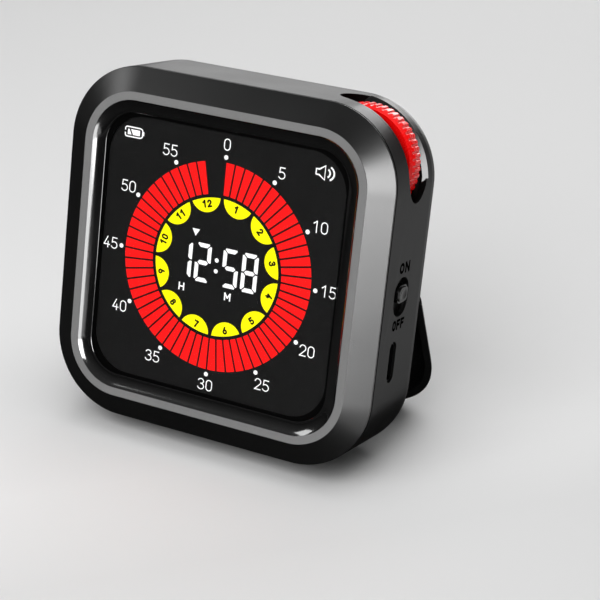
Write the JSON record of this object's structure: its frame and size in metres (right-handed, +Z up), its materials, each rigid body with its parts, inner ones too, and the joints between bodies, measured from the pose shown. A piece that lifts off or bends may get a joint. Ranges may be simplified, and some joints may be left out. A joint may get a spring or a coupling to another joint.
{
  "type": "countdown timer",
  "caption": "Square desk countdown timer with a display face, a ribbed corner thumbwheel, a side switch, a charging port and a fold-out stand.",
  "frame": {"origin": "on the table, under the middle of the box round the standing timer", "axes": "+X to the right as seen from the front, +Z up, -Y towards the person who reads the face; the face looks along -Y and upwards by the case's lean"},
  "size_m": [0.0826, 0.0464, 0.0843],
  "materials": {
    "bezel_black": "satin black moulding with a glossy cove",
    "gasket_black": "dull black",
    "lens_clear": "clear pane",
    "panel_black": "black panel with a coloured display",
    "guide_white": "milky",
    "inner_white": "plain moulding",
    "screw_steel": "bright",
    "flex_amber": "amber film",
    "case_black": "satin black, fine texture",
    "board_green": "solder mask",
    "chip_black": "moulded",
    "chip_tan": "ceramic",
    "socket_steel": "bright",
    "inner_black": "plain moulding",
    "switch_metal": "tinned",
    "knob_black": "semi-gloss",
    "axle_steel": "ground",
    "wheel_red": "satin red with ribs",
    "speaker_metal": "dark",
    "cone_black": "film",
    "lead_black": "insulated wire",
    "cell_foil": "foil pouch",
    "pad_black": "foam tape",
    "plug_cream": "nylon",
    "lead_red": "insulated wire",
    "stand_black": "satin black"
  },
  "bodies": {
    "case": {"front_bezel": "bezel_black", "lens_gasket": "gasket_black", "display_lens": "lens_clear", "display_panel": "panel_black", "light_guide": "guide_white", "display_frame": "inner_white", "display_screws": "screw_steel", "display_flex": "flex_amber", "mid_housing": "case_black", "main_board": "board_green", "board_screws": "screw_steel", "controller_chip": "chip_black", "charge_chip": "chip_black", "board_parts": "chip_tan", "usb_socket": "socket_steel", "usb_tongue": "inner_black", "switch_body": "switch_metal", "encoder_body": "inner_black", "wheel_bracket": "inner_black", "speaker_frame": "speaker_metal", "speaker_cone": "cone_black", "speaker_leads": "lead_black", "battery_cell": "cell_foil", "battery_pad": "pad_black", "battery_plug": "plug_cream", "battery_leads": "lead_red", "rear_cover": "case_black", "cover_screws": "screw_steel", "stand_pin": "axle_steel"},
    "wheel": {"thumbwheel": "wheel_red", "wheel_axle": "axle_steel"},
    "switch_knob": {"switch_knob": "knob_black"},
    "kickstand": {"kickstand": "stand_black"}
  },
  "joints": [
    {"name": "thumbwheel_turn", "type": "hinge", "parent": "case", "child": "wheel", "pos_m": [0.0273, 0.00505, 0.0687], "axis": [0, -0.9747, 0.2234], "continuous": true},
    {"name": "power_switch", "type": "slide", "parent": "case", "child": "switch_knob", "axis": [0, 0.2234, 0.9747], "range_m": [-0.0015, 0]},
    {"name": "kickstand_fold", "type": "hinge", "parent": "case", "child": "kickstand", "pos_m": [-0.0003, 0.00976, 0.03757], "axis": [1, 0, 0], "range_deg": [-32.5, 0]}
  ]
}
